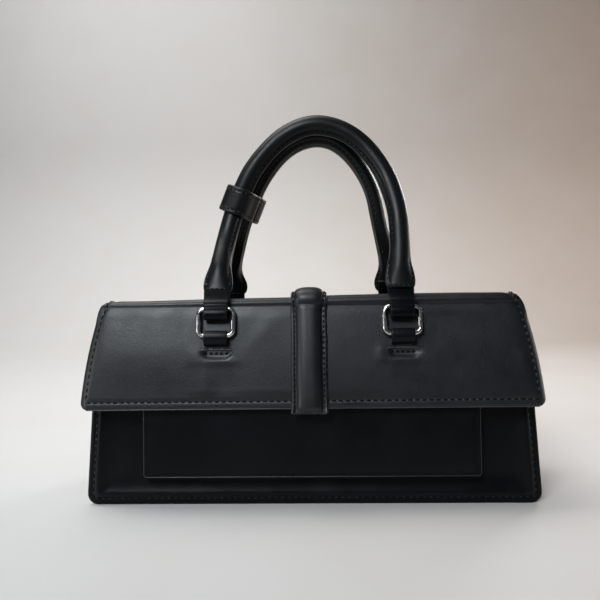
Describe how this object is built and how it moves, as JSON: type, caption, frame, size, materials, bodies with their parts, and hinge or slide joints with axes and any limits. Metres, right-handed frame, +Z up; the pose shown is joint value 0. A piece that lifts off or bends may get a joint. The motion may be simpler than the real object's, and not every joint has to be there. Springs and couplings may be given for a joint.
{
  "type": "flap bag",
  "caption": "Structured flap bag with a wrap-over front flap, front box pocket, padded centre strap and rolled top handles on wire rings.",
  "frame": {"origin": "centre of the base's flat underside", "axes": "+Z up, +X to the right of someone facing the flap, -Y out of the flapped front"},
  "size_m": [0.2692, 0.0958, 0.2377],
  "materials": {
    "body_leather": "smooth semi-gloss black, fine grain",
    "flap_leather": "smooth semi-gloss black, fine grain",
    "handle_leather": "rolled semi-gloss black",
    "strap_leather": "folded semi-gloss black",
    "lining_cloth": "plain dark woven cloth",
    "stiffener": "fibre board",
    "padding": "felt and cord filler",
    "nickel": "polished nickel plate"
  },
  "bodies": {
    "root": {"base_panel": "body_leather", "base_board": "stiffener", "front_panel": "body_leather", "back_panel": "body_leather", "left_gusset": "body_leather", "right_gusset": "body_leather", "lining": "lining_cloth", "front_pocket": "body_leather", "flap_rear_margin": "flap_leather", "snap_socket": "nickel", "rear_chape_left": "strap_leather", "rear_chape_right": "strap_leather"},
    "flap_body": {"flap": "flap_leather", "flap_lining": "lining_cloth", "centre_strap": "flap_leather", "strap_filler": "padding", "snap_stud": "nickel", "front_chape_left": "strap_leather", "front_chape_right": "strap_leather"},
    "front_ring_left_body": {"front_ring_left": "nickel"},
    "front_ring_right_body": {"front_ring_right": "nickel"},
    "front_handle_body": {"front_handle": "handle_leather", "front_handle_core": "padding", "front_tab_left": "strap_leather", "front_tab_right": "strap_leather", "keeper_front": "handle_leather"},
    "rear_ring_left_body": {"rear_ring_left": "nickel"},
    "rear_ring_right_body": {"rear_ring_right": "nickel"},
    "rear_handle_body": {"rear_handle": "handle_leather", "rear_handle_core": "padding", "rear_tab_left": "strap_leather", "rear_tab_right": "strap_leather", "keeper_rear": "handle_leather"}
  },
  "joints": [
    {"name": "flap_hinge", "type": "hinge", "parent": "root", "child": "flap_body", "pos_m": [0, 0.0333, 0.11865], "axis": [-1, 0, 0], "range_deg": [0, 90]},
    {"name": "front_ring_left_pivot", "type": "hinge", "parent": "flap_body", "child": "front_ring_left_body", "pos_m": [-0.0545, -0.04308, 0.1018], "axis": [1, 0, 0], "range_deg": [0, 85]},
    {"name": "front_ring_right_pivot", "type": "hinge", "parent": "flap_body", "child": "front_ring_right_body", "pos_m": [0.0545, -0.04308, 0.1018], "axis": [1, 0, 0], "range_deg": [0, 85]},
    {"name": "front_handle_pivot", "type": "hinge", "parent": "front_ring_left_body", "child": "front_handle_body", "pos_m": [0, -0.03965, 0.11691], "axis": [1, 0, 0], "range_deg": [0, 60]},
    {"name": "rear_ring_left_pivot", "type": "hinge", "parent": "root", "child": "rear_ring_left_body", "pos_m": [-0.0545, 0.038, 0.10123], "axis": [-1, 0, 0], "range_deg": [0, 90]},
    {"name": "rear_ring_right_pivot", "type": "hinge", "parent": "root", "child": "rear_ring_right_body", "pos_m": [0.0545, 0.038, 0.10123], "axis": [-1, 0, 0], "range_deg": [0, 90]},
    {"name": "rear_handle_pivot", "type": "hinge", "parent": "rear_ring_left_body", "child": "rear_handle_body", "pos_m": [0, 0.03702, 0.1167], "axis": [-1, 0, 0], "range_deg": [0, 55]}
  ],
  "couplings": [
    {"joint": "front_ring_right_pivot", "follows": "front_ring_left_pivot", "ratio": 1},
    {"joint": "rear_ring_left_pivot", "follows": "flap_hinge", "ratio": 1},
    {"joint": "rear_ring_right_pivot", "follows": "flap_hinge", "ratio": 1}
  ]
}
